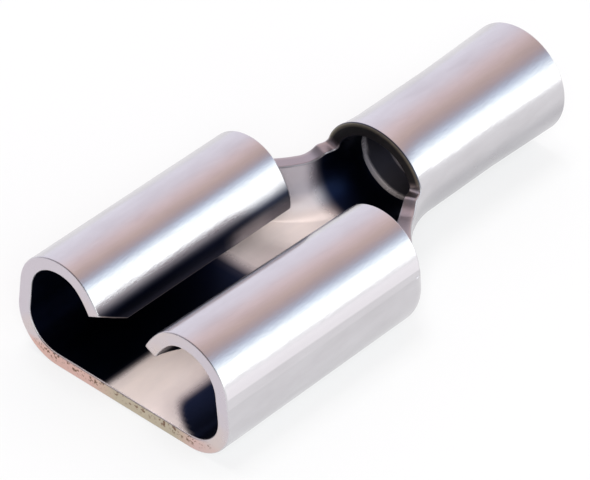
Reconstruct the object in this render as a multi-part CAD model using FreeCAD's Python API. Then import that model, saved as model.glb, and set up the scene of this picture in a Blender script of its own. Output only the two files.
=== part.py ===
import FreeCAD, Part
import math
import os

# Push-on blade receptacle with a closed crimp barrel, folded from one tinned brass strip.
# Millimetres and degrees. The floor's underside lies on Z = 0, Y runs from the blade mouth to the
# wire end and X to the right. The origin is under the middle of the part, halfway along its length.

# The strip
sheet = 0.42

# Lengths along Y
receptacle_length = 7.57
neck_length = 2.45
barrel_length = 6.25

# Folded section of the receptacle at the blade mouth, right half, outside sizes.
# From the floor it turns up at the corner, runs up the leaning side wall, over the shoulder and
# the crown, and ends in a lip that points down at the blade.
mouth_half_width = 3.80
corner_radius = 1.39
wall_lean = 6.2
mouth_wall_run = 0.78
mouth_shoulder_radius = 1.48
shoulder_end = 187.5
crown_radius = 1.29
crown_end = 233.0
lip_bend_radius = 0.62
mouth_lip_bend_end = 236.0
lip_radius = 4.0
mouth_lip_run = 0.45

# The same section at the back of the rolls, where the lips are longer and tuck further under
back_half_width = 3.86
back_wall_run = 0.66
back_shoulder_radius = 1.45
back_lip_bend_end = 272.0
back_lip_run = 1.15

# The neck: its side walls run in an S from the receptacle to the barrel, and on into the barrel's
# first stretch. Their cut edge is level, sweeps up to an ear and stops at the barrel's front edge.
# The flat is half the width of the straight bits that the neck's sections keep at floor and top.
neck_wall_height = 2.00
neck_tuck = 0.25
neck_first_bend_radius = 0.60
neck_last_bend_radius = 3.20
neck_turn = 52.0
ear_height = 2.27
ear_length = 0.30
ear_slope_length = 0.40
neck_section_flat = 0.06

# The barrel: a tube that flares a little towards the wire end, its bore ringed with shallow grooves
barrel_radius = 1.64
barrel_axis_height = 1.90
flare_length = 2.65
flare_radius_gain = 0.07
groove_depth = 0.06
groove_width = 0.22
groove_first = 1.05
groove_pitch = 0.95
groove_count = 3

overall_length = receptacle_length + neck_length + barrel_length
y_mouth = -overall_length / 2
y_back = y_mouth + receptacle_length
y_neck = y_back - neck_tuck
y_barrel = y_back + neck_length
y_wire = y_barrel + barrel_length


class Walk:
    # Follows a folded edge in a cross-section, turning left only, and keeps the edges it passes.
    def __init__(self, x, z, y):
        self.x, self.z, self.y, self.heading = x, z, y, 0.0
        self.edges = []

    def point(self, x, z):
        return FreeCAD.Vector(x, self.y, z)

    def here(self):
        return self.point(self.x, self.z)

    def run(self, length):
        h = math.radians(self.heading)
        start = self.here()
        self.x += length * math.cos(h)
        self.z += length * math.sin(h)
        self.edges.append(line(start, self.here()))

    def bend(self, radius, end_heading):
        a, b = math.radians(self.heading), math.radians(end_heading)
        cx, cz = self.x - radius * math.sin(a), self.z + radius * math.cos(a)
        pts = [self.point(cx + radius * math.sin(t), cz - radius * math.cos(t)) for t in (a, (a + b) / 2, b)]
        self.edges.append(Part.Arc(*pts).toShape())
        self.x, self.z, self.heading = pts[2].x, pts[2].z, end_heading


def line(a, b):
    return Part.LineSegment(a, b).toShape()


def mirrored(edges):
    return [e.mirror(FreeCAD.Vector(0, 0, 0), FreeCAD.Vector(1, 0, 0)) for e in edges]


# Right half of the receptacle's section, offset inward by "inset" from its outside
def receptacle_half(y, inset, half_width, wall_run, shoulder_radius, lip_bend_end, lip_run):
    w = Walk(half_width - corner_radius, inset, y)
    w.bend(corner_radius - inset, 90 + wall_lean)
    w.run(wall_run)
    w.bend(shoulder_radius - inset, shoulder_end)
    w.bend(crown_radius - inset, crown_end)
    w.bend(lip_bend_radius - inset, lip_bend_end)
    w.bend(lip_radius - inset, lip_bend_end + math.degrees(lip_run / lip_radius))
    return w


def wing_section(y, *sizes):
    outer = receptacle_half(y, 0.0, *sizes)
    inner = receptacle_half(y, sheet, *sizes)
    lip = line(outer.here(), inner.here())
    half = sizes[0] - corner_radius
    root = line(outer.point(half, sheet), outer.point(half, 0))
    return Part.Wire(outer.edges + [lip] + inner.edges[::-1] + [root])


right_wing = Part.makeLoft([
    wing_section(y_mouth, mouth_half_width, mouth_wall_run, mouth_shoulder_radius,
                 mouth_lip_bend_end, mouth_lip_run),
    wing_section(y_back, back_half_width, back_wall_run, back_shoulder_radius,
                 back_lip_bend_end, back_lip_run)], True, True)
left_wing = right_wing.mirror(FreeCAD.Vector(0, 0, 0), FreeCAD.Vector(1, 0, 0))

# The flat floor between the two wings, as far back as the neck
mouth_half_floor = mouth_half_width - corner_radius
back_half_floor = back_half_width - corner_radius
floor_corners = [FreeCAD.Vector(x, y, 0) for x, y in (
    (-mouth_half_floor, y_mouth), (mouth_half_floor, y_mouth),
    (back_half_floor, y_back), (-back_half_floor, y_back), (-mouth_half_floor, y_mouth))]
floor = Part.Face(Part.makePolygon(floor_corners)).extrude(FreeCAD.Vector(0, 0, sheet))
receptacle = floor.fuse([right_wing, left_wing])

# Plan of the neck's outer wall: a bend inward, a slanted run, a long bend back and the barrel
turn = math.radians(neck_turn)
start_half_width = back_half_width + (mouth_half_width - back_half_width) * neck_tuck / receptacle_length
bends_across = (neck_first_bend_radius + neck_last_bend_radius) * (1 - math.cos(turn))
slant = (start_half_width - barrel_radius - bends_across) / math.sin(turn)


# How far behind y_neck, and how far from the middle, the wall is at a share of its length in plan
def neck_plan(share, inset):
    first, last = neck_first_bend_radius - inset, neck_last_bend_radius + inset
    s = share * ((first + last) * turn + slant)
    angle = min(s / first, turn)
    y = first * math.sin(angle)
    x = start_half_width - inset - first * (1 - math.cos(angle))
    s -= first * turn
    if s > 0:
        y += min(s, slant) * math.cos(turn)
        x -= min(s, slant) * math.sin(turn)
        s -= slant
    if s > 0:
        angle = max(turn - s / last, 0.0)
        y += last * (math.sin(turn) - math.sin(angle))
        x -= last * (math.cos(angle) - math.cos(turn))
    return y, x


blend_length = neck_plan(1, 0)[0]
y_round = y_neck + blend_length


# Closed section of the neck there: its outside when inset is 0, its hollow when inset is the sheet
def neck_section(y, half_width, inset):
    share = y / blend_length
    ease = share * share * (3 - 2 * share)
    upright = min(y / (y_barrel - y_neck), 1.0)
    lean = math.radians(wall_lean * (1 - upright * upright * (3 - 2 * upright)))
    rise = ease * (barrel_axis_height - barrel_radius)
    shoulder = barrel_radius - neck_section_flat - inset
    corner = corner_radius - inset + ease * (barrel_radius - neck_section_flat - corner_radius)
    w = Walk(half_width - corner, rise + inset, y_neck + y)
    floor_line = line(w.point(-w.x, w.z), w.here())
    w.bend(corner, 90 + math.degrees(lean))
    wall_top = barrel_axis_height + neck_section_flat + shoulder * math.sin(lean)
    w.run((wall_top - w.z) / math.cos(lean))
    w.bend(shoulder, 180)
    top_line = line(w.here(), w.point(-w.x, w.z))
    return Part.Wire([floor_line] + w.edges + [top_line] + mirrored(w.edges[::-1]))


# The last section is the barrel's own circle, split where the others have their corners
def round_section(inset):
    radius = barrel_radius - inset
    narrow = math.degrees(math.asin(neck_section_flat / radius))
    w = Walk(-neck_section_flat, barrel_axis_height - radius * math.cos(math.radians(narrow)), y_round)
    w.heading = -narrow
    for quarter in (0, 90, 180, 270):
        w.bend(radius, quarter + narrow)
        w.bend(radius, quarter + 90 - narrow)
    return Part.Wire(w.edges)


def neck_solid(inset, count):
    places = [neck_plan(i / count, inset) for i in range(count)]
    sections = [neck_section(y, x, inset) for y, x in places]
    return Part.makeLoft(sections + [round_section(inset)], True, False)


def block(y0, y1, z0, z1):
    reach = 2 * back_half_width + 2 * mouth_half_width
    return Part.makeBox(reach, y1 - y0, z1 - z0, FreeCAD.Vector(-reach / 2, y0, z0))


# Everything above the neck's cut edge: level behind the rolls, swept up to the ear, and level again
# as far as the barrel's front edge
def neck_trim():
    low, above = neck_wall_height, barrel_axis_height + barrel_radius + sheet
    y_start, y_ear = y_neck - sheet, y_barrel - ear_length
    y_sweep, rise = y_ear - ear_slope_length, ear_height - low
    half_turn = math.atan(rise / ear_slope_length)
    radius = ear_slope_length / math.sin(2 * half_turn)
    a, b = FreeCAD.Vector(0, y_start, low), FreeCAD.Vector(0, y_sweep, low)
    middle = b + FreeCAD.Vector(0, radius * math.sin(half_turn), radius * (1 - math.cos(half_turn)))
    c, d = FreeCAD.Vector(0, y_ear, ear_height), FreeCAD.Vector(0, y_barrel, ear_height)
    e, f = FreeCAD.Vector(0, y_barrel, above), FreeCAD.Vector(0, y_start, above)
    sweep = Part.Arc(b, middle, c).toShape()
    face = Part.Face(Part.Wire([line(a, b), sweep, line(c, d), line(d, e), line(e, f), line(f, a)]))
    reach = FreeCAD.Vector(back_half_width + mouth_half_width, 0, 0)
    face.translate(-reach)
    return face.extrude(2 * reach)


# The barrel is turned about its own axis: outside, bore and grooves are rings along it
def turned(profile):
    points = [FreeCAD.Vector(0, y, barrel_axis_height + r) for y, r in profile]
    start, end = (FreeCAD.Vector(0, p.y, barrel_axis_height) for p in (points[0], points[-1]))
    face = Part.Face(Part.makePolygon([start] + points + [end, start]))
    return face.revolve(start, FreeCAD.Vector(0, 1, 0), 360)


def barrel_solid(radius):
    y_flare = y_wire - flare_length
    return turned([(y_round, radius), (y_flare, radius), (y_wire, radius + flare_radius_gain)])


def groove(i):
    y, r = y_barrel + groove_first + i * groove_pitch, barrel_radius - sheet + groove_depth
    return turned([(y - groove_width / 2, r), (y + groove_width / 2, r)])


neck_outside = neck_solid(0.0, 11).cut(neck_trim())
neck_and_barrel = neck_outside.fuse(barrel_solid(barrel_radius))
neck_and_barrel = neck_and_barrel.cut(neck_solid(sheet, 11).fuse(barrel_solid(barrel_radius - sheet)))
neck_and_barrel = neck_and_barrel.cut([groove(i) for i in range(groove_count)])

# The side walls tuck in just before the rolls end, below the neck's cut edge
rolls = receptacle.cut(block(y_neck, y_back + sheet, -sheet, neck_wall_height))
terminal = rolls.fuse(neck_and_barrel).removeSplitter()

os.makedirs("parts", exist_ok=True)
terminal.exportStep("parts/terminal.step")
box = terminal.BoundBox
print("solids", len(terminal.Solids), "valid", terminal.isValid(), "volume", round(terminal.Volume, 2))
print("box", [round(v, 3) for v in (box.XMin, box.XMax, box.YMin, box.YMax, box.ZMin, box.ZMax)])
print("faces", len(terminal.Faces))
print("straight bore from", round(y_round, 4), "to", round(y_wire - flare_length, 4))
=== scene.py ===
import math

import bpy
import numpy as np
from mathutils import Matrix, Vector


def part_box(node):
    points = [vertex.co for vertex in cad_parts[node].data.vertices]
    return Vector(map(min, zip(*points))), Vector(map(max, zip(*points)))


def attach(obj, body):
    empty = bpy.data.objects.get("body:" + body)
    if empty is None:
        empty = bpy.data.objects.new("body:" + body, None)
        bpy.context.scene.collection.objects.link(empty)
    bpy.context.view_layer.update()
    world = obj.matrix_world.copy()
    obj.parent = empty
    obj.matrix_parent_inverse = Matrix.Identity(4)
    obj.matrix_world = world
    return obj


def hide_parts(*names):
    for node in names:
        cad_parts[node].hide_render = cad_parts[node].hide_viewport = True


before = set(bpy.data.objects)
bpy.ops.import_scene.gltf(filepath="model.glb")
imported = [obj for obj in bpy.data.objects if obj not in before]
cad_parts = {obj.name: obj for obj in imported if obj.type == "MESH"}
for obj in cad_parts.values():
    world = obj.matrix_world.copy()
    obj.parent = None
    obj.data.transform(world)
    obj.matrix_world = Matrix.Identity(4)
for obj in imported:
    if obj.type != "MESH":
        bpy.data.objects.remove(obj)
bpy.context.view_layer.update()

# A push-on blade receptacle with a crimp barrel, folded from one tinned strip, on a pale floor.
# Lengths in the dictionaries are millimetres and angles degrees; every mesh is in metres.

mm = 0.001
low, high = (np.array(corner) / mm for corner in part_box("terminal"))
print("frame loaded, box in mm", low.round(3), high.round(3))


# The strip as it is folded. The blade mouth is at the lowest y and the wire end at the highest.
strip = {
    "sheet": 0.42,              # thickness
    "edgeRadius": 0.055,        # rounding of every cut edge
    "receptacleLength": 7.57,
    "mouthHalfWidth": 3.80,
    "backHalfWidth": 3.86,
    "cornerRadius": 1.39,       # floor to side wall
    "wallLean": 6.2,
    "mouthWallRun": 0.78,
    "backWallRun": 0.66,
    "mouthShoulderRadius": 1.48,
    "backShoulderRadius": 1.45,
    "shoulderEnd": 187.5,       # headings where the bends of the roll end
    "crownRadius": 1.29,
    "crownEnd": 228.0,
    "lipRadius": 2.7,
    "lipRun": 0.74,
    "tuckRadius": 1.2,          # the lip's end, which the blade slides under
    "leadIn": 1.03,             # it grows from nothing at the mouth to the throat, this far behind
    "throatTuckRun": 0.63,
    "backTuckRun": 0.70,
}

neck = {
    "length": 2.45,
    "tuck": 0.25,               # how far before the rolls' back edge its walls start to turn in
    "wallHeight": 2.00,
    "firstBend": 0.60,
    "lastBend": 3.20,
    "turn": 52.0,
    "earHeight": 2.27,
    "earLength": 0.245,         # level stretch in front of the barrel, its foot bend included
    "earHollow": 0.45,          # bends in the ear's side view: up, to level, up into the barrel
    "earCrest": 0.15,
    "earFoot": 0.12,
}

barrel = {
    "radius": 1.64,
    "axisHeight": 1.90,
    "flareLength": 2.65,
    "flareGain": 0.07,
    "grooveDepth": 0.06,
    "grooveWidth": 0.22,
    "grooveFirst": 1.05,
    "groovePitch": 0.95,
    "grooveCount": 3,
    "grooveFlat": 0.32,         # the flat bottom's half and the slope, as shares of the width
    "grooveSlope": 0.36,
    "splitHeight": 2.50,        # where the trough's grid hands over to the grid over the top
    "squareRun": 0.6,           # before its front edge, where the sheet turns square to the length
}

# Painted shade and painted highlight on the plating: 0 is plain, 1 is darkest painted shade and -1
# is brightest painted highlight. A pair is a fade: where it starts and how much further it is
# complete.
shadow = {
    "lip": 1.0,
    "lipFade": (1.25, 0.60),    # past the shoulder
    "lipGlow": 0.6,             # painted light: how much of the lip's painted shade the floor's light takes back near the neck
    "glowFade": (1.75, 0.25),   # past the shoulder
    "glowRise": (0.64, 0.10),   # along the roll, as a share of its length
    "glowWane": (0.82, 0.10),
    "glowLost": 0.5,            # how much of the glow the wane takes
    "side": 0.6,                # painted highlight: how bright the rolls' outer sides are made
    "sideLow": (0.09, 0.06),    # how far upward they face there
    "sideHigh": (0.30, 0.15),
    "wallFade": (2.15, 0.5),    # from the middle outward: the rolls' inside
    "heightFade": (0.9, 0.5),   # from the floor up
    "floorLeft": (-0.76, 0.35),  # painted light: the floor is bright between these, under the slot, and in painted shade beside them
    "floorRight": (1.05, 0.45),
    "floorMouth": 1.2,          # how much wider at the mouth, and over what length
    "floorMouthRun": 1.0,
    "floorBack": (-2.4, 0.7),   # y where it turns bright from wall to wall
    "rollsEnd": 0.5,            # length over which the rolls' dark ends in the neck
    "neckFade": (-1.00, 0.62),  # behind the barrel's front edge: the bore's painted shade
    "ring": 0.80,               # painted highlight: how much less dark the grooves are than the bore
    "pastRing": 0.22,           # and the bore behind the first of them
    "pastRingRun": 0.1,
    # painted shade on the barrel's underside
    "barrelUnder": 0.22,
    "underRun": 1.0,
    "underFade": (-0.15, 0.3),  # how far downward it faces
    "lipEdge": 0.75,            # painted shade on the lips' cut edges
    "lipEdgeSide": (1.6, 0.3),
    "lipEdgeMouth": (0.1, 0.2),
    "lipEdgeBack": 0.1,
    "neckEdge": 0.35,           # the neck's cut edge, and the barrel's front one
    "frontEdge": 0.97,
    "edgeFade": 0.3,
}

# How finely the surfaces are divided
grid = {
    "acrossTrough": 64,         # columns from the middle of the floor to the top of a wall
    "roll": (8, 40, 20, 26),    # columns in the roll's run, shoulder, crown and lip
    "overBarrel": 34,
    "alongLeadIn": 8,
    "alongRolls": 26,
    "alongTuck": 8,
    "tuckCrowding": 1.3,        # the power that crowds these rows towards the slit's end
    "alongNeck": 40,
    "alongEar": 36,
    "alongBarrel": 96,
    "fan": 0.40,                # how far behind the barrel's front edge the rows up its foot start
    "fanLength": 1.4,
    "edgeSteps": 4,             # facets in each rounded edge
    "faceSteps": 5,             # rows across the flat of a cut face
    "sharpestMitre": 0.35,
    "weld": 2e-5,               # points closer than this become one
    "hair": 0.001,              # more than rounding errors come to
}

yMouth, yWire = low[1], high[1]
yBack = yMouth + strip["receptacleLength"]
yNeck = yBack - neck["tuck"]
yBarrel = yBack + neck["length"]
yFlare = yWire - barrel["flareLength"]
turn = math.radians(neck["turn"])
lean = math.radians(strip["wallLean"])


def smoothStep(t):
    # 0 below 0, 1 above 1, and 3 t squared less 2 t cubed between
    t = np.clip(t, 0, 1)
    return t * t * (3 - 2 * t)


def fade(value, start, length):
    # 0 up to the start, 1 from a length further on
    return smoothStep((value - start) / length)


def mixed(a, b, share):
    return a + (b - a) * share


def follow(x, z, pieces, travelled):
    # A point, and its heading, at a distance along a line of runs and left-hand arcs that sets out
    # along +x. Each piece (length, curvature) adds its chord, which points halfway between the
    # headings at its two ends.
    heading = 0.0
    for length, curvature in pieces:
        passed = np.clip(travelled, 0, length)
        half = curvature * passed / 2
        chord = passed * np.sinc(half / np.pi)
        x = x + chord * np.cos(heading + half)
        z = z + chord * np.sin(heading + half)
        heading = heading + 2 * half
        travelled = travelled - length
    return x, z, heading


def planDrop(t):
    # How far inward the neck's wall has come at t behind its start: a bend, a slant, a bend back.
    # A bend's drop is its radius less the root of radius squared less distance squared.
    first, last = neck["firstBend"], neck["lastBend"]
    drop = first - np.sqrt(first**2 - np.clip(t, 0, bendOne) ** 2)
    drop = drop + np.clip(t - bendOne, 0, slantAlong) * math.tan(turn)
    left = np.clip(blendLength - t, 0, last * math.sin(turn))
    return drop + last * (1 - math.cos(turn)) - (last - np.sqrt(last**2 - left**2))


neckHalfWidth = mixed(strip["mouthHalfWidth"], strip["backHalfWidth"],
                      (yNeck - yMouth) / strip["receptacleLength"])
bendOne = neck["firstBend"] * math.sin(turn)
slantAcross = (neckHalfWidth - barrel["radius"]
               - (neck["firstBend"] + neck["lastBend"]) * (1 - math.cos(turn)))
slantAlong = slantAcross / math.tan(turn)
blendLength = bendOne + slantAlong + neck["lastBend"] * math.sin(turn)


def troughPieces(y):
    # Right half of the section at y, from the middle of the floor up to the barrel's axis: floor,
    # corner bend and leaning wall. Along the neck each of them eases into the barrel's circle.
    t = y - yNeck
    ease = smoothStep(t / blendLength)
    flare = np.clip((y - yFlare) / barrel["flareLength"], 0, 1)
    radius = barrel["radius"] + barrel["flareGain"] * flare
    share = np.clip((y - yMouth) / strip["receptacleLength"], 0, 1)
    ahead = mixed(strip["mouthHalfWidth"], strip["backHalfWidth"], share)
    half = np.where(t < 0, ahead, neckHalfWidth - planDrop(t) + radius - barrel["radius"])
    corner = mixed(strip["cornerRadius"], radius, ease)
    rise = ease * (barrel["axisHeight"] - radius)
    tilt = lean * (1 - smoothStep(t / (yBarrel - yNeck)))
    run = (barrel["axisHeight"] - rise - corner * (1 + np.sin(tilt))) / np.cos(tilt)
    pieces = [(half - corner, 0.0), (corner * (np.pi / 2 + tilt), 1 / corner), (run, 0.0)]
    return pieces, rise, radius, tilt


def troughLength(y, height):
    # Distance along the section from the middle of the floor up to a height over the axis
    pieces, rise, radius, tilt = troughPieces(y)
    up = np.arcsin(np.clip((height - barrel["axisHeight"]) / radius, -1, 1))
    return sum(length for length, curvature in pieces) + radius * up


def trough(y, travelled):
    # Outside of floor, neck and barrel: x, z at a signed distance along the section at y. Above
    # the axis the wall goes on as an arc of the barrel's radius, straightened out where the neck
    # begins.
    pieces, rise, radius, tilt = troughPieces(y)
    far = np.abs(travelled)
    x, z, heading = follow(0.0, rise, pieces, far)
    up = np.maximum(far - sum(length for length, curvature in pieces), 0) / radius
    closing = smoothStep((y - yNeck) / (yBarrel - yNeck))
    x = x * (1 - closing * (1 - np.cos(up))) - radius * np.sin(up) * np.tan(tilt)
    z = z + radius * np.sin(up)
    return np.stack([np.sign(travelled) * x, y + 0 * x, z], -1)


def unit(vectors):
    return vectors / np.maximum(np.linalg.norm(vectors, axis=-1, keepdims=True), 1e-12)


def troughNormal(y, travelled):
    # Outward normal: the way along y crossed with the way along the section, by small differences
    step = 1e-4
    alongY = trough(y + step, travelled) - trough(y - step, travelled)
    along = trough(y, travelled + step) - trough(y, travelled - step)
    return unit(np.cross(alongY, along))


def rollSection(y, columns):
    # Right-hand roll at y, from the neck's wall height up over shoulder and crown to the lip: a
    # line of runs and arcs whose lengths change evenly along y. columns counts pieces passed, so
    # that the rows match piece by piece; the lip and its tucked end are one piece. Gives x, z, the
    # way along the section per column, and how far past the shoulder it is.
    share = (y - yMouth) / strip["receptacleLength"]
    tuckRun = np.interp(y - yMouth, (0, strip["leadIn"], strip["receptacleLength"]),
                        (0, strip["throatTuckRun"], strip["backTuckRun"]))
    shoulder = mixed(strip["mouthShoulderRadius"], strip["backShoulderRadius"], share)
    wallRun = mixed(strip["mouthWallRun"], strip["backWallRun"], share)
    headings = (0.0, 90 + strip["wallLean"], strip["shoulderEnd"], strip["crownEnd"])
    turns = np.radians(np.diff(headings))
    corner, crown = strip["cornerRadius"], strip["crownRadius"]
    pieces = [(corner * turns[0], 1 / corner), (wallRun, 0.0), (shoulder * turns[1], 1 / shoulder),
              (crown * turns[2], 1 / crown), (strip["lipRun"], 1 / strip["lipRadius"]),
              (tuckRun, 1 / strip["tuckRadius"])]
    cornerTop = corner * (1 + math.sin(lean))
    passed = np.cumsum([length + 0 * y for length, curvature in pieces], 0)
    passed[0] += (neck["wallHeight"] - cornerTop) / math.cos(lean)
    passed[-1] -= strip["edgeRadius"]
    marks = np.delete(passed, -2, 0)
    before = np.minimum(columns.astype(int), len(marks) - 2)
    speed = (marks[1:] - marks[:-1])[before, :, 0].T
    travelled = marks[before, :, 0].T + speed * (columns - before)
    halfWidth = mixed(strip["mouthHalfWidth"], strip["backHalfWidth"], share)
    x, z, heading = follow(halfWidth - corner, 0.0, pieces, travelled)
    return x, z, speed * np.cos(heading), speed * np.sin(heading), travelled - marks[2]


def earPath():
    # Side view of the cut edge from where it leaves the neck's level: up a slope to the ear, level
    # along it and round into the barrel's upright front edge. Its start, and (length, curvature)s.
    hollow, crest, foot = neck["earHollow"], neck["earCrest"], neck["earFoot"]
    slope = math.acos(1 - (neck["earHeight"] - neck["wallHeight"]) / (hollow + crest))
    start = yBarrel - neck["earLength"] - (hollow + crest) * math.sin(slope)
    up = barrel["splitHeight"] - neck["earHeight"] - foot
    return start, [(hollow * slope, 1 / hollow), (crest * slope, -1 / crest),
                   (neck["earLength"] - foot, 0.0), (foot * math.pi / 2, 1 / foot), (up, 0.0)]


def stations():
    # Where the rows of the trough's grid stand: y at the floor, and y and z at the top of the wall,
    # held back from the cut edge by the edge's rounding
    r = strip["edgeRadius"]
    earStart, earPieces = earPath()
    share = np.linspace(0, 1, grid["alongEar"] + 1)[1:]
    travelled = share * sum(length for length, curvature in earPieces)
    earY, earZ, heading = follow(earStart, neck["wallHeight"], earPieces, travelled)
    yThroat = yMouth + strip["leadIn"]
    rolls = np.concatenate([np.linspace(yMouth + r, yThroat, grid["alongLeadIn"]),
                            np.linspace(yThroat, yNeck, grid["alongRolls"])[1:]])
    crowded = np.linspace(0, 1, grid["alongTuck"] + 1)[1:] ** grid["tuckCrowding"]
    tuck = mixed(yNeck, yBack - r, crowded)
    level = np.linspace(yBack - r, earStart, grid["alongNeck"] + 1)[1:]
    fanEnd = yBarrel + grid["fan"]
    back = np.linspace(fanEnd, yWire - r, grid["alongBarrel"] + 1)[1:]
    ahead = np.concatenate([rolls, tuck, level])
    floorY = np.concatenate([ahead, mixed(earStart, fanEnd, share), back])
    straightened = smoothStep((back - fanEnd) / grid["fanLength"])
    topY = np.concatenate([ahead, earY + r * np.sin(heading),
                           back + (yBarrel + r - fanEnd) * (1 - straightened)])
    topZ = np.concatenate([neck["wallHeight"] - r * fade(ahead, yNeck, 2 * r),
                           earZ - r * np.cos(heading), 0 * back + barrel["splitHeight"]])
    return {"floorY": floorY, "topY": topY, "topZ": topZ, "split": len(ahead) + len(share) - 1,
            "neck": len(rolls) - 1, "back": len(rolls) + len(tuck) - 1}


def acrossSheet(y, normals):
    # The way through the sheet: its normal, but square to y from the barrel's front edge on, so
    # that both ends of the barrel are cut flat
    tilted = 1 - fade(y, yBarrel - barrel["squareRun"], barrel["squareRun"])
    return unit(np.stack([normals[..., 0], normals[..., 1] * tilted, normals[..., 2]], -1))


def troughGrid(rows):
    # Rows run along the strip and columns from the left wall's top over the floor to the right
    # wall's top. A row leans to its own top point with the cube of the distance from the middle.
    share = np.linspace(-1, 1, 2 * grid["acrossTrough"] + 1)
    floorY, topY, topZ = (rows[k][:, None] for k in ("floorY", "topY", "topZ"))
    y = mixed(floorY, topY, np.abs(share) ** 3)
    travelled = share * troughLength(y, topZ)
    normals = troughNormal(y, travelled)
    return trough(y, travelled), normals, acrossSheet(y, normals)


def overGrid(rows):
    # The barrel above the split height, from its right side over the top to its left
    y = rows["topY"][rows["split"]:, None]
    share = np.linspace(-1, 1, 2 * grid["overBarrel"] + 1)
    side, top = (troughLength(y, height) for height in (barrel["splitHeight"], high[2]))
    travelled = -np.where(share < 0, -1, 1) * mixed(top, side, np.abs(share))
    normals = troughNormal(y, travelled)
    return trough(y, travelled), normals, acrossSheet(y + 0 * travelled, normals)


def rollGrid(rows):
    counts = grid["roll"]
    within = [i + np.linspace(0, 1, n + 1)[1:] for i, n in enumerate(counts)]
    columns = np.concatenate([[0.0]] + within)
    y = rows["floorY"][:rows["back"] + 1, None]
    x, z, wayX, wayZ, pastShoulder = rollSection(y, columns)
    # behind the neck's start the lowest column makes room for the rounding of the slit's edge
    room = strip["edgeRadius"] * fade(y, yNeck, 2 * strip["edgeRadius"])
    lift = (1 - smoothStep(columns * 2)) * room
    points = np.stack([x - lift * math.tan(lean), y + 0 * x, z + lift], -1)
    step = 1e-3
    ahead, behind = rollSection(y + step, columns), rollSection(y - step, columns)
    along = np.stack([ahead[0] - behind[0], 2 * step + 0 * x, ahead[1] - behind[1]], -1)
    around = np.stack([wayX, 0 * x, wayZ], -1)
    # the sheet's thickness is measured within the section, so the cut at the mouth stays flat
    outward = unit(np.cross((0, 1, 0), around))
    # painted shade on the lip's underside, less dark near the neck, where a painted glow stands for
    # light from the floor
    share = (y - yMouth) / strip["receptacleLength"]
    wane = 1 - shadow["glowLost"] * fade(share, *shadow["glowWane"])
    paintedGlow = fade(share, *shadow["glowRise"]) * wane
    paintedGlow = paintedGlow * fade(pastShoulder, *shadow["glowFade"]) * shadow["lipGlow"]
    lipShade = fade(pastShoulder, *shadow["lipFade"]) * shadow["lip"]
    # painted highlight on the roll's side where it faces outward and a little up
    up = outward[..., 2]
    sidePaintedHighlight = fade(up, *shadow["sideLow"]) * (1 - fade(up, *shadow["sideHigh"]))
    sidePaintedHighlight = sidePaintedHighlight * (pastShoulder < 0) * shadow["side"]
    return points, unit(np.cross(along, around)), outward, lipShade * (1 - paintedGlow) - sidePaintedHighlight


def mirrored(*grids):
    return [values[:, ::-1] * np.array([-1, 1, 1]) for values in grids]


def grooveDepth(y):
    # Shallow rings in the bore, each a flat bottom with sloping sides
    depth = 0
    for i in range(barrel["grooveCount"]):
        away = np.abs(y - yBarrel - barrel["grooveFirst"] - i * barrel["groovePitch"])
        share = away / barrel["grooveWidth"]
        depth = depth + 1 - fade(share, barrel["grooveFlat"], barrel["grooveSlope"])
    return barrel["grooveDepth"] * depth


class Surface:
    # Gathers points with their normals and marks, and the quads between them
    def __init__(self):
        self.points, self.normals, self.marks, self.quads, self.count = [], [], [], [], 0

    def add(self, points, normals, marks, closed=False):
        rows, columns = points.shape[:2]
        number = self.count + np.arange(rows * columns).reshape(rows, columns)
        if closed:
            number = np.concatenate([number, number[:, :1]], 1)
        corners = [number[:-1, :-1], number[1:, :-1], number[1:, 1:], number[:-1, 1:]]
        self.quads.append(np.stack(corners, -1).reshape(-1, 4))
        self.points.append(points.reshape(-1, 3))
        self.normals.append(normals.reshape(-1, 3))
        self.marks.append(np.broadcast_to(marks, points.shape).reshape(-1, 3))
        self.count += rows * columns

    def mesh(self, name):
        # Points that fall together become one, and quads that lost a side become triangles
        points, normals = np.concatenate(self.points), np.concatenate(self.normals)
        marks, quads = np.concatenate(self.marks), np.concatenate(self.quads)
        cell = np.round(points / grid["weld"]).astype(np.int64)
        first, where = np.unique(cell, axis=0, return_index=True, return_inverse=True)[1:]
        quads = where.reshape(-1)[quads]
        points, normals, marks = points[first], normals[first], marks[first]
        same = quads == np.roll(quads, -1, 1)
        four = quads[same.sum(1) == 0]
        three = quads[same.sum(1) == 1]
        triangles = three[~same[same.sum(1) == 1]].reshape(-1, 3)
        result = bpy.data.meshes.new(name)
        result.from_pydata(points * mm, [], four.tolist() + triangles.tolist())
        for i, mark in enumerate(("shade", "cut", "across")):
            result.attributes.new(mark, "FLOAT", "POINT").data.foreach_set("value", marks[:, i])
        result.shade_smooth()
        result.normals_split_custom_set_from_vertices(unit(normals))
        return result


def slitRoom(points):
    # The slit between roll and neck opens from nothing at its front end, and so does its rounding
    x, y = np.abs(points[:, 0]), points[:, 1]
    atSlit = (x > neckHalfWidth - 2 * neck["firstBend"]) & (y > yNeck - grid["hair"])
    return np.where(atSlit, fade(y, yNeck, 2 * strip["edgeRadius"]), 1)


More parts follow.
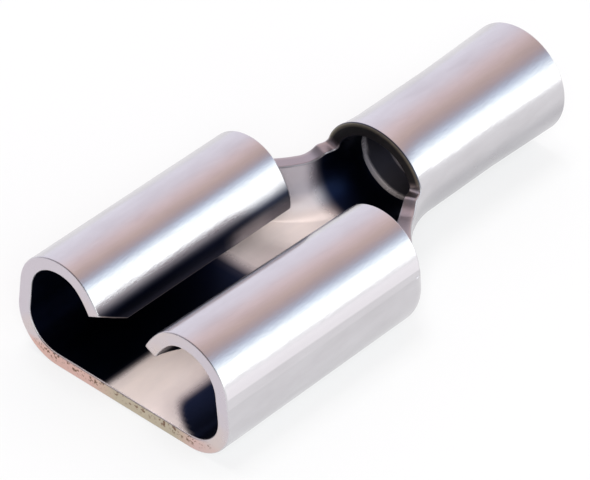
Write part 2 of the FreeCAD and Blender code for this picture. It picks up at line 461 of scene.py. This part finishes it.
def rim(surface, points, normals, outward):
    # Rounds the cut edge along a closed loop of points on the outside. The edge's own direction
    # crossed with the normal points out of the sheet; at a corner the two directions are mitred.
    # The face goes round a quarter circle, straight through the sheet and round another one.
    ahead = unit(np.roll(points, -1, 0) - points)
    outBefore, outAfter = (unit(np.cross(outward, way)) for way in (np.roll(ahead, 1, 0), ahead))
    spread = 1 + (outBefore * outAfter).sum(1, keepdims=True)
    out = (outBefore + outAfter) / np.maximum(spread, grid["sharpestMitre"])
    sheet, r = strip["sheet"], strip["edgeRadius"] * slitRoom(points)
    angle = np.linspace(0, np.pi / 2, grid["edgeSteps"] + 1)[:, None]
    flat = mixed(r, sheet - r, np.linspace(0, 1, grid["faceSteps"] + 1)[1:-1, None])
    rising, falling = np.sin(angle) + 0 * r, np.cos(angle) + 0 * r
    sideways = np.concatenate([rising, 0 * flat + 1, falling])
    upward = np.concatenate([falling, 0 * flat, -rising])
    depth = np.concatenate([r * (1 - falling), flat, sheet - r * (1 - rising)])
    loop = points + (r * sideways)[..., None] * out - depth[..., None] * outward
    facing = unit(sideways[..., None] * unit(out) + upward[..., None] * normals)
    edge = np.broadcast_to(edgeShade(points), depth.shape)
    marks = np.stack([edge, sideways, depth / sheet], -1)[:, ::-1]
    surface.add(loop[:, ::-1], facing[:, ::-1], marks, closed=True)


def insideShade(points):
    # Painted shade on the inner side: dark in the rolls and on the floor beside the slot between
    # them, and from the neck's end into the bore; a painted highlight makes the grooves less dark
    # and what lies behind them a little so
    x, y, z = points[..., 0], points[..., 1], points[..., 2]
    wall = np.maximum(fade(np.abs(x), *shadow["wallFade"]), fade(z, *shadow["heightFade"]))
    nearMouth = np.clip((yMouth - y) / shadow["floorMouthRun"] + 1, 0, 1) ** 2
    drawnIn = x - shadow["floorMouth"] * nearMouth
    slot = fade(x, *shadow["floorLeft"]) * (1 - fade(drawnIn, *shadow["floorRight"]))
    beside = (1 - slot) * (1 - fade(y, *shadow["floorBack"]))
    rolls = np.maximum(wall, beside) * (1 - fade(y, yNeck, shadow["rollsEnd"]))
    bore = fade(y - yBarrel, *shadow["neckFade"])
    ring = smoothStep(2 * grooveDepth(y) / barrel["grooveDepth"] - 1) * shadow["ring"]
    behind = fade(y - yBarrel, barrel["grooveFirst"], shadow["pastRingRun"]) * shadow["pastRing"]
    return np.maximum(rolls, bore * (1 - behind)) - bore * ring


def edgeShade(points):
    # Painted shade on the cut edges: dark round the barrel's front and along the lips, a little so
    # along the neck
    x, y, z = np.abs(points[..., 0]), points[..., 1], points[..., 2]
    lips = (1 - fade(x, *shadow["lipEdgeSide"])) * fade(y - yMouth, *shadow["lipEdgeMouth"])
    lips = lips * (z > strip["sheet"]) * (y < yBack - shadow["lipEdgeBack"])
    run = shadow["edgeFade"]
    nearNeck = fade(y, yBack, run) * (1 - fade(y, yBarrel + run, run))
    front = fade(z, neck["earHeight"], run)
    edge = mixed(shadow["neckEdge"], shadow["frontEdge"], front)
    return nearNeck * edge + lips * shadow["lipEdge"]


def foldedStrip():
    rows = stations()
    split, neckRow, backRow = rows["split"], rows["neck"], rows["back"]
    # each is points, shading normals and the direction of the sheet's thickness
    floor, over = troughGrid(rows), overGrid(rows)
    *right, rollShade = rollGrid(rows)
    flip = np.array([-1, 1, 1])
    for floorValues, overValues, rightValues in zip(floor, over, right):
        # shared columns hold the very same numbers
        floorValues[:, 0] = floorValues[:, -1] * flip
        rightValues[:neckRow + 1, 0] = floorValues[:neckRow + 1, -1]
        overValues[:, 0] = floorValues[split:, -1]
        overValues[:, -1] = overValues[:, 0] * flip
    left = mirrored(*right)

    surface = Surface()
    # painted shade on the barrel's underside, where it faces downward
    paintedUnderShade = fade(floor[0][..., 1], yBack, shadow["underRun"])
    paintedUnderShade = paintedUnderShade * fade(-floor[1][..., 2], *shadow["underFade"])
    grids = ((floor, paintedUnderShade * shadow["barrelUnder"]), (over, np.zeros(1)),
             (right, rollShade), (left, rollShade[:, ::-1]))
    for (points, normals, outward), outsideShade in grids:
        inner = points - outward * (strip["sheet"] - grooveDepth(points[..., 1:2]))
        zero = 0 * points[..., 0]
        surface.add(points, normals, np.stack([zero + outsideShade, zero, zero], -1))
        marks = np.stack([insideShade(inner), zero, zero + 1], -1)
        surface.add(inner[:, ::-1], -normals[:, ::-1], marks[:, ::-1])

    # The long loop of cut edges: mouth, right roll, neck, barrel's front, and back on the left
    def longLoop(floorValues, overValues, rightValues, leftValues):
        return np.concatenate([
            leftValues[0, :-1], floorValues[0, :-1], rightValues[0, :-1],
            rightValues[:-1, -1], rightValues[-1, :0:-1], rightValues[:neckRow:-1, 0],
            floorValues[neckRow:split, -1], overValues[0, :-1],
            floorValues[split:neckRow:-1, 0], leftValues[neckRow:backRow, -1],
            leftValues[-1, :0:-1], leftValues[:0:-1, 0]])

    rim(surface, *map(longLoop, floor, over, right, left))

    # The wire end, a loop of its own taken the other way round
    def wireEnd(floorValues, overValues):
        return np.concatenate([floorValues[-1, :-1], overValues[-1, :-1]])[::-1]

    rim(surface, *map(wireEnd, floor, over))
    return surface.mesh("foldedStrip")


piece = bpy.data.objects.new("foldedStrip", foldedStrip())
bpy.context.scene.collection.objects.link(piece)
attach(piece, "root")
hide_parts("terminal")
print("folded strip made,", len(piece.data.polygons), "faces")


# Shader maths in the open: a Value wraps a socket, and expressions on it add Math nodes
class Value:
    def __init__(self, graph, socket):
        self.graph, self.socket = graph, socket

    def math(self, operation, *others):
        return self.graph.math(operation, self, *others)

    def __add__(self, other):
        return self.math("ADD", other)

    def __sub__(self, other):
        return self.math("SUBTRACT", other)

    def __mul__(self, other):
        return self.math("MULTIPLY", other)

    def __truediv__(self, other):
        return self.math("DIVIDE", other)

    def __rsub__(self, other):
        return self.graph.math("SUBTRACT", other, self)

    __radd__ = __add__


class Graph:
    # A node tree that is filled by one method: type, settings, then the sockets' values or links
    def __init__(self, tree):
        self.tree = tree
        tree.nodes.clear()

    def add(self, kind, settings=None, **sockets):
        node = self.tree.nodes.new(kind)
        for key, setting in (settings or {}).items():
            if key == "stops":
                self.setStops(node.color_ramp, setting)
            else:
                setattr(node, key, setting)
        for key, value in sockets.items():
            socket = node.inputs[int(key[1:]) if key[1:].isdigit() else key.replace("_", " ")]
            if isinstance(value, Value):
                self.tree.links.new(value.socket, socket)
            else:
                socket.default_value = value
        return node

    def setStops(self, ramp, stops):
        while len(ramp.elements) < len(stops):
            ramp.elements.new(1.0)
        for element, (position, colour) in zip(ramp.elements, stops):
            element.position, element.color = position, (*colour, 1.0)

    def out(self, node, name=0):
        return Value(self, node.outputs[name])

    def math(self, operation, *values):
        node = self.add("ShaderNodeMath", {"operation": operation},
                        **{"_" + str(i): v for i, v in enumerate(values)})
        return self.out(node)

    def mixColour(self, share, a, b, blend="MIX"):
        settings = {"data_type": "RGBA", "blend_type": blend}
        return self.out(self.add("ShaderNodeMix", settings, _0=share, _6=a, _7=b), 2)

    def clamped(self, value, lowest, highest):
        # 0 at the lowest value, 1 at the highest, straight between
        node = self.add("ShaderNodeMapRange", None, Value=value, From_Min=lowest, From_Max=highest)
        return self.out(node)


# The tin plate. Sizes and heights are millimetres. A pair is a span: the value where something
# starts and the value where it is complete.
tin = {
    "plate": (0.62, 0.605, 0.63, 1),
    "dull": (0.50, 0.48, 0.50, 1),
    # the inner side's colours: the wall's darker tone, next to the floor's, is painted shade
    "innerFloor": (0.86, 0.76, 0.71, 1),
    "innerWallShaded": (0.52, 0.49, 0.54, 1),
    "innerShine": 0.2,          # how metallic the dull inner side is
    "innerSpan": (0.9, 1.0),    # share of the sheet passed through
    "wallSpan": (0.5, 1.1),     # height where the inner side turns from floor to wall
    # painted shade: the colour the shade mark darkens towards
    "dark": (0.010, 0.017, 0.048, 1),
    # painted highlight: the colour a negative shade mark brightens towards
    "highlightColour": (0.90, 0.86, 0.90, 1),
    "grain": 0.06,
    "grainStretch": 0.30,       # along the strip: the rolling grain is drawn out this way
    "mottle": 0.55,
    "cloud": 2.6,
    "mottleShare": 0.6,         # of the dullness; the rest is the clouds'
    "dullSpan": (0.42, 0.66),
    "dulled": 0.45,
    "innerDulled": 0.25,
    "roughness": 0.22,
    "roughnessSpread": 0.10,
    "grainRoughness": 0.06,
    "darkRoughness": 0.38,
    "edgeRoughness": 0.30,
    "grainHeight": 0.0018,
    "mottleHeight": 0.005,
    "innerSmooth": 0.8,         # how much of the relief the inner side lacks
}

# Its cut edges: duller, in painted shade where the shade mark says so, and bare and pitted along
# the floor's front
cutEdge = {
    "plain": (0.60, 0.55, 0.60, 1),
    "warm": (0.66, 0.56, 0.53, 1),
    "warmSpan": (0.45, 0.60),
    # painted shade on the cut edges: dusk at the outer side, darkest further through the sheet
    "dusk": (0.42, 0.39, 0.30, 1),
    "dark": (0.012, 0.014, 0.016, 1),
    "darkSpan": (0.0, 0.34),    # share of the sheet passed through
    "bare": (0.70, 0.44, 0.38, 1),
    "worn": (0.50, 0.43, 0.31, 1),
    "bareShare": 0.9,
    "floorSpan": (0.40, 0.62),  # height where the floor's edge ends
    "wornStart": (-0.7, 0.3),   # x of the worn stretch's two ends
    "wornEnd": (1.9, 2.6),
    "coveredStart": (2.2, 3.2),  # x where some of the plating is left
    "covered": 0.6,
    "tornSpan": (0.30, 0.55),   # share of the sheet passed through, where the pits start
    "pit": (0.20, 0.12, 0.08, 1),
    "pitSize": 0.09,
    "pitSpan": (0.54, 0.62),
    "span": (0.55, 1.0),        # how far round the rounding the cut's colour starts
    "filedSize": 0.05,
    "filedHeight": 0.004,
}


def tinnedStrip():
    material = bpy.data.materials.new("tinnedStrip")
    material.use_nodes = True
    g = Graph(material.node_tree)
    where = g.out(g.add("ShaderNodeTexCoord"), "Object")
    drawn = g.out(g.add("ShaderNodeMapping", {"vector_type": "POINT"}, Vector=where,
                        Scale=(1, tin["grainStretch"], 1)))
    place = g.add("ShaderNodeSeparateXYZ", None, Vector=where)
    side, height = g.out(place, "X") / mm, g.out(place, "Z") / mm

    def noise(size, vector, detail=2.0, roughness=0.55):
        node = g.add("ShaderNodeTexNoise", {"noise_dimensions": "3D"}, Vector=vector,
                     Scale=1 / (size * mm), Detail=detail, Roughness=roughness)
        return g.out(node)

    def mark(name):
        return g.out(g.add("ShaderNodeAttribute", {"attribute_name": name}), "Fac")

    grain = noise(tin["grain"], drawn)
    mottle = noise(tin["mottle"], drawn, 4.0, 0.62)
    cloud = noise(tin["cloud"], where, 3.0)
    shade, cut, across = mark("shade"), mark("cut"), mark("across")
    paintedShade = g.clamped(shade, 0, 1)
    innerSide = g.clamped(across, *tin["innerSpan"]) * (1 - cut)

    # plate: slightly duller where the mottling and the clouds run high, dull inside, painted
    # highlight where the shade mark is below 0 and painted shade where it is above
    uneven = mottle * tin["mottleShare"] + cloud * (1 - tin["mottleShare"])
    dullness = g.clamped(uneven, *tin["dullSpan"])
    colour = g.mixColour(dullness * tin["dulled"], tin["plate"], tin["dull"])
    # painted shade: the inner side turns darker from the floor up the walls
    inside = g.mixColour(g.clamped(height, *tin["wallSpan"]), tin["innerFloor"], tin["innerWallShaded"])
    inside = g.mixColour(dullness * tin["innerDulled"], inside, tin["dull"])
    colour = g.mixColour(innerSide, colour, inside)
    colour = g.mixColour(g.clamped(shade, 0, -1), colour, tin["highlightColour"])
    colour = g.mixColour(paintedShade, colour, tin["dark"])

    # cut edges, from the outer side through the sheet to the inner one
    edge = g.mixColour(g.clamped(cloud, *cutEdge["warmSpan"]), cutEdge["plain"], cutEdge["warm"])
    atFloor = 1 - g.clamped(height, *cutEdge["floorSpan"])
    beforeEnd = 1 - g.clamped(side, *cutEdge["wornEnd"])
    worn = g.clamped(side + cloud, *cutEdge["wornStart"]) * beforeEnd
    bare = g.mixColour(worn, cutEdge["bare"], cutEdge["worn"])
    uncovered = 1 - g.clamped(side, *cutEdge["coveredStart"]) * cutEdge["covered"]
    edge = g.mixColour(atFloor * uncovered * cutEdge["bareShare"], edge, bare)
    torn = atFloor * g.clamped(across, *cutEdge["tornSpan"])
    pits = g.clamped(noise(cutEdge["pitSize"], where), *cutEdge["pitSpan"]) * torn
    edge = g.mixColour(pits, edge, cutEdge["pit"])
    # painted shade on the cut edges, deepening through the sheet
    through = g.clamped(across, *cutEdge["darkSpan"])
    edge = g.mixColour(paintedShade, edge, g.mixColour(through, cutEdge["dusk"], cutEdge["dark"]))
    colour = g.mixColour(g.clamped(cut, *cutEdge["span"]), colour, edge)

    rough = tin["roughness"] + (mottle - 0.5) * tin["roughnessSpread"] * 2
    rough = rough + (grain - 0.5) * tin["grainRoughness"]
    rough = rough + paintedShade * (tin["darkRoughness"] - tin["roughness"])
    rough = rough + cut * (tin["edgeRoughness"] - tin["roughness"])
    relief = grain * tin["grainHeight"] + mottle * tin["mottleHeight"]
    relief = relief * (1 - innerSide * tin["innerSmooth"])
    relief = relief + cut * noise(cutEdge["filedSize"], where) * cutEdge["filedHeight"]
    bump = g.out(g.add("ShaderNodeBump", None, Strength=1.0, Distance=mm, Height=relief))
    # the dull inner side is hardly metallic, but its painted shade is
    metallic = 1 - innerSide * (1 - paintedShade) * (1 - tin["innerShine"])
    surface = g.add("ShaderNodeBsdfPrincipled", None, Base_Color=colour, Normal=bump,
                    Metallic=metallic, Roughness=g.clamped(rough, 0, 1))
    g.add("ShaderNodeOutputMaterial", None, Surface=g.out(surface))
    return material


piece.data.materials.append(tinnedStrip())
print("tinned strip painted")


# Floor and light. The studio is a sky that changes only round the strip's length: dim and warm
# overhead, bright low on the right, plain on the left, and dim on the mouth's side. Two soft panels
# light the stage and the strip's dull inner side.
studio = {
    "floorSize": 2000,
    "floorColour": (0.20, 0.205, 0.205, 1),
    "floorRoughness": 0.9,
    "floorGlow": 0.70,
    "panels": (                 # name, power, size and place of each
        ("overheadPanel", 0.70, 160, (-60, 0, 420)),
        ("frontPanel", 1.10, 160, (235, -255, 300)),
    ),
    "skyStrength": 1.17,
    "frontDim": 0.30,           # how dark the studio is on the mouth's side, next to the rest
    "frontSpan": (-0.5, -0.1),  # y of the direction where that side is
    "skyStops": (               # degrees from straight up towards +x, and the light from there
        (-180, (0.90, 0.90, 0.96)),
        (-90, (0.94, 0.93, 1.02)),
        (-45, (0.89, 0.84, 0.92)),
        (-16, (0.84, 0.68, 0.68)),
        (8, (0.66, 0.51, 0.46)),
        (24, (0.52, 0.42, 0.44)),
        (34, (0.48, 0.50, 0.60)),
        (42, (0.66, 0.74, 0.90)),
        (49, (0.95, 1.10, 1.24)),
        (53, (1.15, 1.28, 1.36)),
        (60, (1.60, 1.72, 1.70)),
        (68, (1.95, 2.02, 1.98)),
        (90, (1.95, 2.02, 1.98)),
        (100, (1.05, 1.22, 1.36)),
        (122, (0.78, 0.84, 1.02)),
        (180, (0.80, 0.78, 0.86)),
    ),
}


def skyLight():
    world = bpy.data.worlds.new("studioSky")
    bpy.context.scene.world = world
    world.use_nodes = True
    g = Graph(world.node_tree)
    direction = g.out(g.add("ShaderNodeTexCoord"), "Generated")
    parts = g.add("ShaderNodeSeparateXYZ", None, Vector=direction)
    angle = g.math("ARCTAN2", g.out(parts, "X"), g.out(parts, "Z"))
    stops = [((degrees + 180) / 360, colour) for degrees, colour in studio["skyStops"]]
    brightest = max(max(colour) for position, colour in stops)
    stops = [(position, tuple(c / brightest for c in colour)) for position, colour in stops]
    ramp = g.add("ShaderNodeValToRGB", {"stops": stops}, Fac=angle / (2 * math.pi) + 0.5)
    front = 1 - g.clamped(g.out(parts, "Y"), *studio["frontSpan"])
    dim = g.mixColour(front, (1, 1, 1, 1), (studio["frontDim"],) * 3 + (1,))
    colour = g.mixColour(1.0, g.out(ramp), dim, "MULTIPLY")
    light = g.add("ShaderNodeBackground", None, Color=colour,
                  Strength=brightest * studio["skyStrength"])
    g.add("ShaderNodeOutputWorld", None, Surface=g.out(light))


def paleFloor():
    half = studio["floorSize"] / 2 * mm
    corners = [(-half, -half, 0), (half, -half, 0), (half, half, 0), (-half, half, 0)]
    mesh = bpy.data.meshes.new("paleFloor")
    mesh.from_pydata(corners, [], [(0, 1, 2, 3)])
    material = bpy.data.materials.new("paleFloor")
    material.use_nodes = True
    g = Graph(material.node_tree)
    surface = g.add("ShaderNodeBsdfPrincipled", None, Base_Color=studio["floorColour"],
                    Roughness=studio["floorRoughness"], Emission_Color=(1, 1, 1, 1),
                    Emission_Strength=studio["floorGlow"])
    g.add("ShaderNodeOutputMaterial", None, Surface=g.out(surface))
    mesh.materials.append(material)
    floor = bpy.data.objects.new("paleFloor", mesh)
    bpy.context.scene.collection.objects.link(floor)


def softPanel(name, power, size, place):
    # An area light aimed at the origin that stays out of the metal's reflections
    light = bpy.data.lights.new(name, "AREA")
    light.energy, light.size = power, size * mm
    panel = bpy.data.objects.new(name, light)
    place = Vector(place) * mm
    aimed = place.to_track_quat("Z", "Y").to_matrix().to_4x4()
    panel.matrix_world = Matrix.Translation(place) @ aimed
    panel.visible_glossy = False
    bpy.context.scene.collection.objects.link(panel)


skyLight()
paleFloor()
for panel in studio["panels"]:
    softPanel(*panel)
print("floor and light placed")


camera = {
    "azimuth": 41.13,           # 0 looks along +y, 90 along -x
    "elevation": 39.03,
    "roll": 0.986,
    "distance": 117.64,
    "aim": (0.173, -1.532, 1.8),
    "lens": 266.25,
    "sensor": 36,
    "clip": (0.01, 10),         # metres
}


def placeCamera():
    azimuth, elevation, roll = (math.radians(camera[k]) for k in ("azimuth", "elevation", "roll"))
    level = math.cos(elevation)
    ahead = Vector((-math.sin(azimuth) * level, math.cos(azimuth) * level, -math.sin(elevation)))
    levelRight = Vector((math.cos(azimuth), math.sin(azimuth), 0))
    levelUp = levelRight.cross(ahead)
    right = levelRight * math.cos(roll) + levelUp * math.sin(roll)
    up = right.cross(ahead)
    place = (Vector(camera["aim"]) - ahead * camera["distance"]) * mm
    data = bpy.data.cameras.new("camera")
    data.lens, data.sensor_width = camera["lens"], camera["sensor"]
    data.clip_start, data.clip_end = camera["clip"]
    holder = bpy.data.objects.new("camera", data)
    bpy.context.scene.collection.objects.link(holder)
    holder.matrix_world = Matrix((
        (right.x, up.x, -ahead.x, place.x), (right.y, up.y, -ahead.y, place.y),
        (right.z, up.z, -ahead.z, place.z), (0, 0, 0, 1)))
    bpy.context.scene.camera = holder


placeCamera()
bpy.context.scene.view_settings.view_transform = "Standard"
print("camera placed")
